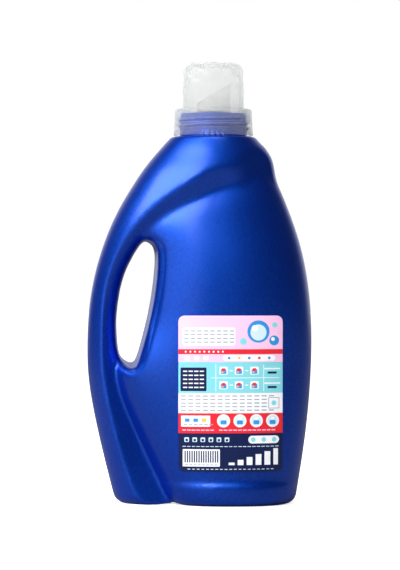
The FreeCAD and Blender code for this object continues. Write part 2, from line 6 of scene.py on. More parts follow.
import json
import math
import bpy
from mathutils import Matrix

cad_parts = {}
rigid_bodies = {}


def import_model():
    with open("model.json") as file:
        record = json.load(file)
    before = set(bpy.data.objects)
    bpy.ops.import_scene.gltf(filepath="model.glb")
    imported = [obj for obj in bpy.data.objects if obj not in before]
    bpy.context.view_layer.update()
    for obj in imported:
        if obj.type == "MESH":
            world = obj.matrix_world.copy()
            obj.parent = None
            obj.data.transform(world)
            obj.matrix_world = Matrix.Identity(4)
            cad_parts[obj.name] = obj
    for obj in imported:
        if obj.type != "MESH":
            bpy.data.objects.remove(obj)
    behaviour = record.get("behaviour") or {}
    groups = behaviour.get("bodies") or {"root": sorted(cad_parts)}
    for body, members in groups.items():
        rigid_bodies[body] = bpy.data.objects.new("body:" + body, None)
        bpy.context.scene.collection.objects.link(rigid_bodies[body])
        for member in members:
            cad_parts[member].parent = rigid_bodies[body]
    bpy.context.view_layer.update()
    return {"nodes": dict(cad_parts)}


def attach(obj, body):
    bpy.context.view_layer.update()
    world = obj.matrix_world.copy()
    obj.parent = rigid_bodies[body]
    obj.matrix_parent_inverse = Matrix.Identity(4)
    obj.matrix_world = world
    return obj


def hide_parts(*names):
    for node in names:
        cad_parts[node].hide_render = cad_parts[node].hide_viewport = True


bl_info = {
    "name": "Laundry detergent bottle",
    "version": (1, 0, 0),
    "blender": (4, 5, 0),
    "location": "3D View > Sidebar > Laundry bottle",
    "description": "Skin, cap, spout and labels of a laundry detergent bottle, with its studio",
    "category": "Object",
}

import bmesh
import bpy
import numpy as np
import openvdb
from bpy.props import FloatProperty, FloatVectorProperty, IntProperty, PointerProperty

for leftover in list(bpy.data.objects):
    bpy.data.objects.remove(leftover)

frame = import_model()

MM = 0.001

# Heights and radii that the looks share with the part, in millimetres
SHOULDER = 241.2
AXIS_X = 9.2
NECK_RADIUS = 22.0
LABEL_X = 20.2
LABEL_Z = 73.3

# Outlines of the blown body in millimetres, the part's own: height, then place
HANDLE_SIDE = [
    (0.0, -55.2), (24.1, -61.4), (55.8, -68.7), (87.5, -73.5), (103.3, -73.9), (135.0, -71.9),
    (166.7, -64.4), (194.4, -52.6), (210.2, -43.2), (219.0, -37.3), (228.4, -29.9), (234.0, -25.0),
    (237.9, -21.5), (241.2, -18.4),
]
SHOULDER_SIDE = [
    (0.0, 40.0), (135.0, 48.0), (194.4, 50.5), (210.2, 50.8), (219.0, 49.6), (228.4, 47.0),
    (234.0, 43.0), (237.9, 39.4), (241.2, 36.6),
]
BODY_SIDE = [
    (0.0, 62.8), (24.1, 66.8), (51.8, 70.6), (91.4, 73.6), (111.2, 73.9), (146.9, 71.2),
    (174.6, 65.1), (198.3, 56.6), (210.2, 51.2), (222.0, 42.5), (233.0, 30.0),
]
CORE_SIDE = [
    (0.0, -21.5), (18.5, -30.6), (49.2, -44.5), (76.9, -55.4), (90.0, -56.4), (104.0, -51.0),
    (117.0, -45.1), (133.6, -41.5), (166.7, -41.5), (183.0, -43.0), (199.0, -32.0), (210.2, -22.5),
    (222.0, -10.0), (233.0, 2.0),
]
CORE_DEPTH = [
    (0.0, 39.6), (60.0, 41.2), (104.0, 41.2), (133.6, 40.7), (166.7, 37.6), (183.0, 34.6),
    (199.0, 31.0), (210.2, 27.2), (222.0, 22.5), (233.0, 15.0),
]
HULL_DEPTH = [
    (0.0, 31.0), (55.8, 33.0), (111.2, 32.5), (135.0, 33.5), (166.7, 36.0), (194.4, 36.5),
    (210.2, 34.6), (219.0, 32.8), (228.4, 30.0), (234.0, 28.2), (241.2, 25.2),
]
DEPTH_STRETCH = 90.0 / 82.4
CORE_SQUARENESS = 2.35
HULL_SQUARENESS = 2.05
WIDEST_SHARE = 0.97
CORE_TOP = 233.0
BASE_ROUND = 6.0
BASE_RIM = 12.0
BASE_RISE = 3.0
PANEL_STEP = 1.7
LEDGE = (12.5, 16.0)

# Ridge of the shoulder and handle: x, z, width of the bevel beside it, and its fall towards the core
RIDGE = [
    (60.0, 229.0, 18.0, -1.8), (43.1, 228.0, 17.0, 0.4), (27.1, 224.6, 15.8, 3.4),
    (12.0, 219.3, 12.8, 4.7), (-4.9, 210.7, 10.8, 4.7), (-21.7, 200.4, 9.8, 4.3),
    (-38.3, 185.6, 7.8, 4.4), (-51.6, 167.6, 8.6, 4.9), (-61.4, 139.8, 9.0, 5.2),
    (-63.6, 108.0, 9.2, 5.3), (-62.9, 86.1, 9.7, 4.8), (-57.9, 58.3, 11.5, 4.9),
    (-50.4, 30.5, 15.6, 5.6), (-44.0, 12.2, 17.8, 5.6), (-36.5, -8.0, 20.0, 5.8),
]
BAND_INWARD = 26.0
RIDGE_ROUND = 1.2
GROOVE_ROUND = 2.0

# Hole between handle and body, at its narrowest in the middle plane: x, z, counter-clockwise
HOLE = [
    (-29.0, 166.7), (-31.9, 170.9), (-35.6, 172.4), (-39.6, 169.9), (-46.3, 158.7), (-51.6, 144.5),
    (-54.6, 127.0), (-54.9, 113.0), (-53.4, 99.3), (-50.0, 93.6), (-44.6, 91.3), (-40.3, 97.2),
    (-36.0, 112.5), (-32.4, 128.0), (-30.2, 141.5), (-28.7, 156.0),
]
HOLE_GRIP = 5.0
HOLE_DRAFT = 0.14
HOLE_LIP = 1.2


def linear(code):
    """Linear colour of an sRGB hex value."""
    parts = [int(code[start : start + 2], 16) / 255 for start in (1, 3, 5)]
    return [part / 12.92 if part <= 0.04045 else ((part + 0.055) / 1.055) ** 2.4 for part in parts]


def colour_setting(name, description, code):
    """Colour that a user may change."""
    return FloatVectorProperty(
        name=name, description=description, default=linear(code), subtype="COLOR", min=0, max=1
    )


def opaque(colour):
    """Colour with its fourth number, as a shader's socket takes it."""
    return (*colour, 1.0)


def add(tree, kind, inputs=None, **settings):
    """Add a node with its settings, and fill its inputs from values or from other nodes' outputs."""
    node = tree.nodes.new(kind)
    for name, value in settings.items():
        setattr(node, name, value)
    for key, value in (inputs or {}).items():
        if isinstance(value, bpy.types.NodeSocket):
            tree.links.new(value, node.inputs[key])
        elif isinstance(value, bpy.types.Node):
            tree.links.new(value.outputs[0], node.inputs[key])
        else:
            node.inputs[key].default_value = value
    return node


def new_material(name):
    """Empty node material."""
    material = bpy.data.materials.new(name)
    material.use_nodes = True
    material.node_tree.nodes.clear()
    return material


def show(tree, shader):
    """Send a shader to the surface."""
    add(tree, "ShaderNodeOutputMaterial", {"Surface": shader})


def new_object(name, mesh):
    """Object for a mesh, linked into the scene."""
    piece = bpy.data.objects.new(name, mesh)
    bpy.context.scene.collection.objects.link(piece)
    return piece


class StudioSettings(bpy.types.PropertyGroup):
    camera_distance: FloatProperty(
        name="Camera distance",
        description="From the middle of the bottle to the camera",
        default=2.0,
        min=0.5,
        subtype="DISTANCE",
        unit="LENGTH",
    )
    view_height: FloatProperty(
        name="View height",
        description="Height of the picture at the middle of the bottle",
        default=0.3762,
        min=0.05,
        subtype="DISTANCE",
        unit="LENGTH",
    )
    camera_height: FloatProperty(
        name="Camera height",
        description="Height of the level camera above the floor",
        default=0.14355,
        min=0.0,
        subtype="DISTANCE",
        unit="LENGTH",
    )
    softbox_power: FloatProperty(
        name="Softbox power",
        description="Power of the large softbox at the upper left",
        default=37.0,
        min=0.0,
        unit="POWER",
    )
    side_power: FloatProperty(
        name="Side softbox power",
        description="Power of the low softbox at the left",
        default=5.5,
        min=0.0,
        unit="POWER",
    )
    top_power: FloatProperty(
        name="Top softbox power",
        description="Power of the softbox above",
        default=5.0,
        min=0.0,
        unit="POWER",
    )
    fill: FloatProperty(
        name="Fill",
        description="Even light from all round",
        default=0.3,
        min=0.0,
    )
    floor_colour: colour_setting("Floor", "Pale floor", "#f2f2f2")


class BottleSettings(bpy.types.PropertyGroup):
    body_colour: colour_setting("Body", "Pigment of the blown body", "#00146a")
    pearl_colour: colour_setting("Pearl", "Sheen of the pearl flakes", "#0062f4")
    voxel: FloatProperty(
        name="Skin grid",
        description="Grid on which the skin is rebuilt",
        default=0.0014,
        min=0.0005,
        subtype="DISTANCE",
        unit="LENGTH",
    )
    rounding: IntProperty(
        name="Rounding",
        description="Smoothing steps that round the ridges as blow moulding does",
        default=2,
        min=0,
    )
    flake: FloatProperty(
        name="Pearl flake",
        description="Size of the drawn pearl flakes",
        default=0.0007,
        min=0.0001,
        subtype="DISTANCE",
        unit="LENGTH",
    )


class CapSettings(bpy.types.PropertyGroup):
    cap_colour: colour_setting("Cap", "Natural polypropylene", "#f0f3f3")
    wall: FloatProperty(
        name="Wall",
        description="Wall of the cap",
        default=0.0012,
        min=0.0004,
        subtype="DISTANCE",
        unit="LENGTH",
    )
    wave: FloatProperty(
        name="Swirl depth",
        description="Depth of the folds in the crown",
        default=0.0018,
        min=0.0,
        subtype="DISTANCE",
        unit="LENGTH",
    )
    twist: FloatProperty(
        name="Swirl twist",
        description="Turn of each fold on its way up",
        default=math.radians(130),
        subtype="ANGLE",
        unit="ROTATION",
    )
    folds: IntProperty(name="Folds", description="Folds round the crown", default=6, min=2)


class SpoutSettings(bpy.types.PropertyGroup):
    spout_colour: colour_setting("Spout", "Natural polypropylene", "#fbfcf8")


class LabelSettings(bpy.types.PropertyGroup):
    pink: colour_setting("Pink", "Pink field", "#f8c4e6")
    red: colour_setting("Red", "Red fields", "#e6202e")
    turquoise: colour_setting("Turquoise", "Turquoise field", "#80d4de")
    paper: colour_setting("White", "Unprinted film", "#f2f4f8")
    navy: colour_setting("Navy", "Navy field", "#04184c")
    blue: colour_setting("Blue", "Bubbles and round marks", "#2a8fd8")
    sky: colour_setting("Sky", "Pale marks", "#cfe6f5")
    grey: colour_setting("Grey", "Short lines", "#9aa0aa")
    yellow: colour_setting("Yellow", "Small marks", "#f2c14a")


# Stage


def area_lamp(name, place, aim, width, height, power):
    """Rectangular softbox at a place, turned to what it aims at."""
    lamp = bpy.data.lights.new(name, "AREA")
    lamp.shape = "RECTANGLE"
    lamp.size = width
    lamp.size_y = height
    lamp.energy = power
    box = new_object(name, lamp)
    box.location = place
    aim_line = [to - start for to, start in zip(aim, place)]
    from mathutils import Vector

    box.rotation_euler = Vector(aim_line).to_track_quat("-Z", "Y").to_euler()
    return box


class LAUNDRY_OT_stage(bpy.types.Operator):
    """Camera, lamps, white surroundings and pale floor"""

    bl_idname = "laundry.stage"
    bl_label = "Stage"

    def execute(self, context):
        studio = context.scene.laundry_studio
        lens = bpy.data.cameras.new("camera")
        lens.sensor_fit = "VERTICAL"
        lens.sensor_height = 36.0
        lens.lens = lens.sensor_height * studio.camera_distance / studio.view_height
        lens.clip_end = 50.0
        camera = new_object("camera", lens)
        camera.location = (0.0004, -studio.camera_distance, studio.camera_height)
        camera.rotation_euler = (math.radians(90), 0, 0)
        context.scene.camera = camera
        context.scene.view_settings.view_transform = "Standard"

        middle = (0.0, 0.0, 0.14)
        area_lamp("softbox", (-1.0, -0.88, 1.22), middle, 2.2, 0.7, studio.softbox_power)
        area_lamp("side_softbox", (-1.08, -1.12, 0.34), middle, 1.7, 1.3, studio.side_power)
        area_lamp("top_softbox", (-0.05, -0.6, 1.6), middle, 0.9, 0.4, studio.top_power)

        world = bpy.data.worlds.new("studio")
        context.scene.world = world
        world.use_nodes = True
        tree = world.node_tree
        tree.nodes.clear()
        ray = add(tree, "ShaderNodeLightPath")
        direction = add(tree, "ShaderNodeTexCoord")
        parts = add(tree, "ShaderNodeSeparateXYZ", {0: direction.outputs["Generated"]})
        # A white wall stands behind and a dim room in front, which gloss shows more sharply
        wall = add(
            tree,
            "ShaderNodeMapRange",
            {"Value": parts.outputs["Y"], "From Min": 0.6, "To Min": 0.05},
            interpolation_type="SMOOTHSTEP",
        )
        soft_wall = add(
            tree,
            "ShaderNodeMapRange",
            {"Value": parts.outputs["Y"], "To Min": studio.fill, "To Max": 1.25},
            interpolation_type="SMOOTHSTEP",
        )
        glossy = add(
            tree,
            "ShaderNodeMix",
            {0: ray.outputs["Is Glossy Ray"], 2: soft_wall.outputs["Result"], 3: wall.outputs["Result"]},
            data_type="FLOAT",
        )
        seen = add(
            tree,
            "ShaderNodeMath",
            {0: ray.outputs["Is Camera Ray"], 1: ray.outputs["Is Transmission Ray"]},
            operation="MAXIMUM",
        )
        strength = add(
            tree, "ShaderNodeMix", {0: seen, 2: glossy.outputs[0], 3: 1.0}, data_type="FLOAT"
        )
        light = add(tree, "ShaderNodeBackground", {"Color": (1, 1, 1, 1), "Strength": strength.outputs[0]})
        add(tree, "ShaderNodeOutputWorld", {"Surface": light})

        ground = bmesh.new()
        bmesh.ops.create_circle(ground, cap_ends=True, segments=96, radius=14.0)
        mesh = bpy.data.meshes.new("floor")
        ground.to_mesh(mesh)
        ground.free()
        floor = new_object("floor", mesh)
        material = new_material("matt_studio_paper")
        tree = material.node_tree
        ray = add(tree, "ShaderNodeLightPath")
        # Painted shade: glossy rays see the floor at three tenths of its colour, so the bottle's gloss shows
        # a shaded floor, not its lit front
        painted_floor_shade = [part * 0.3 for part in studio.floor_colour]
        tone = add(
            tree,
            "ShaderNodeMix",
            {0: ray.outputs["Is Glossy Ray"], 6: opaque(studio.floor_colour), 7: opaque(painted_floor_shade)},
            data_type="RGBA",
        )
        paper = add(tree, "ShaderNodeBsdfDiffuse", {"Color": tone.outputs[2]})
        lift = add(tree, "ShaderNodeMath", {0: ray.outputs["Is Camera Ray"], 1: 0.75}, operation="MULTIPLY")
        glow = add(tree, "ShaderNodeEmission", {"Color": (1, 1, 1, 1), "Strength": lift})
        both = add(tree, "ShaderNodeAddShader", {0: paper, 1: glow})
        show(tree, both)
        mesh.materials.append(material)
        return {"FINISHED"}


# Bottle


def neck_and_inside(node):
    """The part's own neck, thread, teeth and inner wall: all but the outside of the blown body."""
    rest = bmesh.new()
    rest.from_mesh(node.data)
    bmesh.ops.remove_doubles(rest, verts=rest.verts, dist=1e-6)
    top = SHOULDER * MM + 1e-5
    rest.verts.ensure_lookup_table()
    first = min(rest.verts, key=lambda vert: vert.co.z).index
    seen = {first}
    stack = [rest.verts[first]]
    while stack:
        vert = stack.pop()
        for face in vert.link_faces:
            if max(corner.co.z for corner in face.verts) > top:
                continue
            for corner in face.verts:
                if corner.index not in seen:
                    seen.add(corner.index)
                    stack.append(corner)

    def outside(face):
        below = max(corner.co.z for corner in face.verts) <= top
        return below and all(corner.index in seen for corner in face.verts)

    bmesh.ops.delete(rest, geom=[f for f in rest.faces if outside(f)], context="FACES")
    return rest


def along(outline, marks):
    """Smooth curve through an outline at given marks: a natural spline, straight past its ends."""
    place, value = np.array(outline, dtype=float).T
    count = len(place)
    rise = np.diff(place)
    slope = np.diff(value) / rise
    rule = np.eye(count)
    wanted = np.zeros(count)
    for knot in range(1, count - 1):
        rule[knot, knot - 1 : knot + 2] = (
            rise[knot - 1],
            2 * (rise[knot - 1] + rise[knot]),
            rise[knot],
        )
        wanted[knot] = 6 * (slope[knot] - slope[knot - 1])
    bend = np.linalg.solve(rule, wanted)
    step = np.clip(np.searchsorted(place, marks) - 1, 0, count - 2)
    held = np.clip(marks, place[0], place[-1])
    up = held - place[step]
    first = slope[step] - rise[step] * (2 * bend[step] + bend[step + 1]) / 6
    curve = value[step] + up * first
    curve += bend[step] * up**2 / 2 + (bend[step + 1] - bend[step]) * up**3 / (6 * rise[step])
    ends = slope[0] - rise[0] * bend[1] / 6, slope[-1] + rise[-1] * bend[-2] / 6
    past = marks - held
    return curve + past * np.where(past < 0, ends[0], ends[1])


def round_both(first, second, radius):
    """Inside both forms, with their edge rounded."""
    out_first = np.maximum(first + radius, 0)
    out_second = np.maximum(second + radius, 0)
    return np.minimum(np.maximum(first, second), -radius) + np.hypot(out_first, out_second)


def round_either(first, second, radius):
    """Inside either form, with the valley between them filled to a radius."""
    return -round_both(-first, -second, radius)


def sections(grid, left, right, depth, squareness, step):
    """Distance outside a stack of level superellipse sections, negative inside."""
    x, y, z = grid
    low = along(left, z)
    high = along(right, z)
    across = np.abs((2 * x - low - high) / (high - low)) ** squareness
    share = (across + np.abs(y / depth) ** squareness) ** (1 / squareness)
    climb = np.sqrt(sum(part**2 for part in np.gradient(share, step)))
    return (share - 1) / np.maximum(climb, 0.004)


def beside(curve, x, z):
    """For each point beside a drawn curve: its nearest mark on the curve, and how far outside it is."""
    ahead = np.gradient(curve, axis=0)
    ahead /= np.hypot(ahead[:, 0], ahead[:, 1])[:, None]
    spots = np.stack([x.ravel(), z.ravel()], axis=1)
    nearest = np.concatenate(
        [
            np.argmin(((part[:, None, :] - curve[None, :, :]) ** 2).sum(axis=2), axis=1)
            for part in np.array_split(spots, 40)
        ]
    )
    gap = spots - curve[nearest]
    out = gap[:, 0] * ahead[nearest, 1] - gap[:, 1] * ahead[nearest, 0]
    far = np.hypot(gap[:, 0], gap[:, 1]) * np.where(out < 0, -1, 1)
    return nearest.reshape(x.shape), far.reshape(x.shape)


def blown_form(grid, step):
    """Distance outside the blown body, from the part's own outlines, in millimetres."""
    x, y, z = grid
    core_depth = DEPTH_STRETCH * along(CORE_DEPTH, z)
    ledge = np.clip((z - LEDGE[0]) / (LEDGE[1] - LEDGE[0]), 0, 1)
    core_depth = core_depth + PANEL_STEP * (1 - ledge * ledge * (3 - 2 * ledge))
    core = sections(grid, CORE_SIDE, BODY_SIDE, core_depth, CORE_SQUARENESS, step)
    core = round_both(round_both(core, -z, BASE_ROUND), z - CORE_TOP, 1.0)
    hull_depth = DEPTH_STRETCH * along(HULL_DEPTH, z)
    hull = sections(grid, HANDLE_SIDE, SHOULDER_SIDE, hull_depth, HULL_SQUARENESS, step)
    hull = round_both(hull, -z, BASE_ROUND)

    # Ridge of the shoulder and the handle, and the bevel that falls from it to the body
    ridge = np.array(RIDGE)
    level = np.maximum(ridge[:, 1], 0)
    low = along(HANDLE_SIDE, level)
    high = along(SHOULDER_SIDE, level)
    share = np.minimum(np.abs((2 * ridge[:, 0] - low - high) / (high - low)), WIDEST_SHARE)
    reach = DEPTH_STRETCH * along(HULL_DEPTH, level)
    reach = reach * (1 - share**HULL_SQUARENESS) ** (1 / HULL_SQUARENESS)
    marks = np.linspace(0, len(ridge) - 1, 700)
    columns = [along(list(enumerate(column)), marks) for column in (*ridge.T, reach)]
    ridge_x, ridge_z, width, fall, reach = columns
    flat_x, flat_z = x[:, 0, :], z[:, 0, :]
    nearest, out = beside(np.stack([ridge_x, ridge_z], axis=1), flat_x, flat_z)
    slope = (fall / width)[nearest]
    surface = (reach[nearest] + slope * out)[:, None, :]
    lean = np.sqrt(1 + slope**2)[:, None, :]
    band = np.maximum((np.abs(y) - surface) / lean, -BAND_INWARD - out[:, None, :])
    crescent = round_both(hull, band, RIDGE_ROUND)
    body = round_either(core, crescent, GROOVE_ROUND)

    # Finger hole: straight through the middle plane, rounded out to both faces
    closed = HOLE[-2:] + HOLE + HOLE[:3]
    marks = np.linspace(2, len(HOLE) + 2, 500, endpoint=False)
    rim = np.stack([along([(i, p[k]) for i, p in enumerate(closed)], marks) for k in (0, 1)], axis=1)
    nearest, out = beside(rim, flat_x, flat_z)
    ahead = np.gradient(rim, axis=0)
    ahead /= np.hypot(ahead[:, 0], ahead[:, 1])[:, None]
    drafted = np.hypot(*np.clip(ahead, 0, 1).T)[nearest][:, None, :]
    opening = drafted * (HOLE_DRAFT * np.abs(y) - HOLE_LIP)
    body = round_both(body, opening - out[:, None, :], HOLE_GRIP)

    # Push-up under the base, and the flat shoulder round the neck
    low = HANDLE_SIDE[0][1] + BASE_RIM
    high = BODY_SIDE[0][1] - BASE_RIM
    depth = DEPTH_STRETCH * (CORE_DEPTH[0][1] - 4.0) - BASE_RIM
    share = np.hypot((2 * x - low - high) / (high - low), y / depth)
    rise = np.clip((1 - share) * depth / 6.0, 0, 1)
    body = np.maximum(body, BASE_RISE * rise * rise * (3 - 2 * rise) - z)
    return round_both(body, z - SHOULDER, 0.8)


def skin_mesh(step):
    """Skin of the blown body on an even grid."""
    lows = (-79.0, -51.0, -6.0)
    highs = (79.0, 51.0, 247.0)
    axes = [np.arange(low, high, step) for low, high in zip(lows, highs)]
    axes[1] -= (axes[1][0] + axes[1][-1]) / 2
    grid = np.meshgrid(*axes, indexing="ij")
    form = openvdb.FloatGrid(1000.0)
    form.copyFromArray(blown_form(grid, step).astype(np.float32))
    points, quads = form.convertToQuads(0.0)
    points = (points * step + [axis[0] for axis in axes]) * MM
    mesh = bpy.data.meshes.new("blown")
    mesh.from_pydata(points.tolist(), [], quads.tolist())
    mesh.update()
    return mesh


def smoothed(mesh, steps):
    """Relax every point towards its neighbours, step by step."""
    count = len(mesh.vertices)
    points = np.empty(count * 3)
    mesh.vertices.foreach_get("co", points)
    points = points.reshape(-1, 3)
    edges = np.empty(len(mesh.edges) * 2, dtype=np.int64)
    mesh.edges.foreach_get("vertices", edges)
    ends = edges.reshape(-1, 2)
    near = np.concatenate([ends[:, 0], ends[:, 1]])
    far = np.concatenate([ends[:, 1], ends[:, 0]])
    links = np.bincount(near, minlength=count)[:, None]
    for _ in range(steps):
        pull = np.stack([np.bincount(near, points[far, axis], count) for axis in range(3)], axis=1)
        points += 0.5 * (pull / links - points)
    mesh.vertices.foreach_set("co", points.reshape(-1))
    return mesh


def pearl_hdpe(colour, pearl, flake):
    """High-density polyethylene with a deep pigment and pearl flakes, blow moulded.

    The pigment under the surface stays deep, and the flakes throw a paler satin sheen."""
    material = new_material("pearl_hdpe_blow_moulded")
    tree = material.node_tree
    place = add(tree, "ShaderNodeTexCoord").outputs["Object"]
    # One flake to a cell. Real flakes are near 0.05 mm: they are drawn ten times as coarse to show
    cells = add(tree, "ShaderNodeTexVoronoi", {"Vector": place, "Scale": 1 / flake}, feature="F1")
    glint = add(
        tree,
        "ShaderNodeMapRange",
        {"Value": cells.outputs["Color"], "To Min": 0.70, "To Max": 1.30},
    )
    tint = add(
        tree, "ShaderNodeVectorMath", {0: pearl, "Scale": glint.outputs["Result"]}, operation="SCALE"
    )
    peel = add(tree, "ShaderNodeTexNoise", {"Vector": place, "Scale": 1 / (3 * MM), "Detail": 2.0})
    bump = add(
        tree, "ShaderNodeBump", {"Height": peel.outputs[0], "Strength": 0.08, "Distance": 0.0002}
    )
    flakes = add(
        tree,
        "ShaderNodeBump",
        {"Height": cells.outputs["Color"], "Strength": 0.16, "Distance": 0.0001, "Normal": bump},
    )
    pigment = add(
        tree,
        "ShaderNodeBsdfPrincipled",
        {"Base Color": opaque(colour), "Roughness": 0.27, "IOR": 1.4, "Normal": bump},
    )
    sheen = add(
        tree,
        "ShaderNodeBsdfPrincipled",
        {
            "Base Color": tint.outputs["Vector"],
            "Metallic": 1.0,
            "Roughness": 0.44,
            "Normal": flakes,
            "Coat Weight": 0.55,
            "Coat Roughness": 0.25,
            "Coat IOR": 1.5,
        },
    )
    show(tree, add(tree, "ShaderNodeMixShader", {0: 0.5, 1: pigment, 2: sheen}))
    return material


class LAUNDRY_OT_bottle(bpy.types.Operator):
    """Blown body with its hollow handle, and the threaded neck"""

    bl_idname = "laundry.bottle"
    bl_label = "Bottle"

    def execute(self, context):
        looks = context.scene.laundry_bottle
        rest = neck_and_inside(frame["nodes"]["bottle"])
        skin = smoothed(skin_mesh(looks.voxel / MM), looks.rounding)
        whole = bmesh.new()
        whole.from_mesh(skin)
        reach = (NECK_RADIUS - 0.6) * MM

        def under_neck(face):
            middle = face.calc_center_median()
            across = math.hypot(middle.x - AXIS_X * MM, middle.y)
            return across < reach and middle.z > (SHOULDER - 2) * MM

        bmesh.ops.delete(whole, geom=[f for f in whole.faces if under_neck(f)], context="FACES")
        foot = SHOULDER * MM
        for vert in rest.verts:
            if vert.is_boundary and abs(vert.co.z - foot) < 1e-5:
                vert.co.z -= 0.4 * MM
        mesh = bpy.data.meshes.new("rest")
        rest.to_mesh(mesh)
        rest.free()
        whole.from_mesh(mesh)
        whole.to_mesh(skin)
        whole.free()
        skin.shade_smooth()
        skin.set_sharp_from_angle(angle=math.radians(40))
        piece = new_object("bottle_skin", skin)
        skin.materials.clear()
        skin.materials.append(pearl_hdpe(looks.body_colour, looks.pearl_colour, looks.flake))
        for polygon in skin.polygons:
            polygon.material_index = 0
        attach(piece, "bottle_body")
        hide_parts("bottle")
        return {"FINISHED"}


# Cap and spout

SKIRT_FOOT = 242.0
SKIRT_TOP = 259.4
SKIRT_OUTSIDE = 26.1
SKIRT_HEAD = 25.3
CUP_RADIUS = 20.1
CROWN_TOP = 289.9
THREAD_PITCH = 3.8
THREAD_RISE = 7.2
THREAD_FOOT = 245.1
THREAD_BEAD = 0.8

# Crown of the cap: below its top, set in from the cup, share of the folds, share of their twist
CROWN = [
    (18.0, 0.0, 0.0, 0.0),
    (13.0, 0.0, 0.3, 0.18),
    (8.0, 0.3, 0.7, 0.38),
    (3.6, 0.9, 0.95, 0.56),
    (1.0, 3.0, 1.0, 0.66),
    (0.0, 6.2, 0.9, 0.74),
    (0.5, 11.2, 0.6, 0.87),
    (1.3, 15.6, 0.15, 1.0),
]


def smooth_rows(rows, steps):
    """Rows of numbers with smooth rows in between."""
    rows = np.array(rows, dtype=float)
    padded = np.vstack([2 * rows[0] - rows[1], rows, 2 * rows[-1] - rows[-2]])
    out = []
    for index in range(1, len(padded) - 2):
        p0, p1, p2, p3 = padded[index - 1 : index + 3]
        for step in range(steps):
            t = step / steps
            out.append(
                0.5 * (2 * p1 + (p2 - p0) * t + (2 * p0 - 5 * p1 + 4 * p2 - p3) * t**2 + (3 * p1 - p0 - 3 * p2 + p3) * t**3)
            )
    out.append(rows[-1])
    return np.array(out)


def turned(name, outside, inside):
    """Mesh of two stacks of rings, open at the foot towards each other and closed at the top."""
    around = outside.shape[1]
    points = []
    faces = []

    def stack(rings, flip):
        start = sum(len(part) for part in points)
        points.append(rings.reshape(-1, 3))
        points.append(rings[-1].mean(axis=0)[None, :])
        pole = start + rings.shape[0] * around
        for ring in range(rings.shape[0]):
            base = start + ring * around
            for step in range(around):
                following = (step + 1) % around
                if ring + 1 < rings.shape[0]:
                    face = (base + step, base + following, base + around + following, base + around + step)
                else:
                    face = (base + step, base + following, pole)
                faces.append(face[::-1] if flip else face)
        return start

    first = stack(outside, False)
    second = stack(inside, True)
    for step in range(around):
        following = (step + 1) % around
        faces.append((first + following, first + step, second + step, second + following))
    mesh = bpy.data.meshes.new(name)
    mesh.from_pydata(np.concatenate(points).tolist(), [], faces)
    mesh.update()
    return mesh


def round_rings(profile, around):
    """Rings of (radius, height) about the neck's axis, in millimetres."""
    turn = 2 * np.pi * np.arange(around) / around
    rings = []
    for radius, height in profile:
        rings.append(
            np.stack([AXIS_X + radius * np.cos(turn), radius * np.sin(turn), np.full(around, height)], axis=1)
        )
    return np.array(rings)


def crown_rings(settings, around, inset):
    """Rings of the swirl: each fold bulges between two creases that turn inwards as they rise."""
    turn = 2 * np.pi * np.arange(around) / around
    rows = smooth_rows(CROWN, 6)
    radius = CUP_RADIUS - rows[:, 1]
    height = CROWN_TOP - rows[:, 0]
    run_in = -np.gradient(radius)
    run_up = np.gradient(height)
    run = np.hypot(run_in, run_up)
    radius = radius - inset * run_up / run
    height = height - inset * run_in / run
    wave = np.abs(np.cos(settings.folds * turn / 2))
    # The core of the mould is rounded, so the creases show on the outside alone
    fold = wave**2 - 1 if inset else wave - 1
    rings = []
    for step, (below, set_in, ridge, twist) in enumerate(rows):
        depth = settings.wave / MM * ridge
        reach = radius[step] + depth * fold * run_up[step] / run[step]
        lift = height[step] + depth * fold * run_in[step] / run[step]
        angle = turn - settings.twist * twist
        rings.append(np.stack([AXIS_X + reach * np.cos(angle), reach * np.sin(angle), lift], axis=1))
    return np.array(rings)


def arc(middle_radius, middle_height, radius, start, end, steps):
    """Points of a rounded corner in a profile, angles in degrees from straight out."""
    turns = np.radians(np.linspace(start, end, steps + 1))
    return [(middle_radius + radius * math.cos(t), middle_height + radius * math.sin(t)) for t in turns]


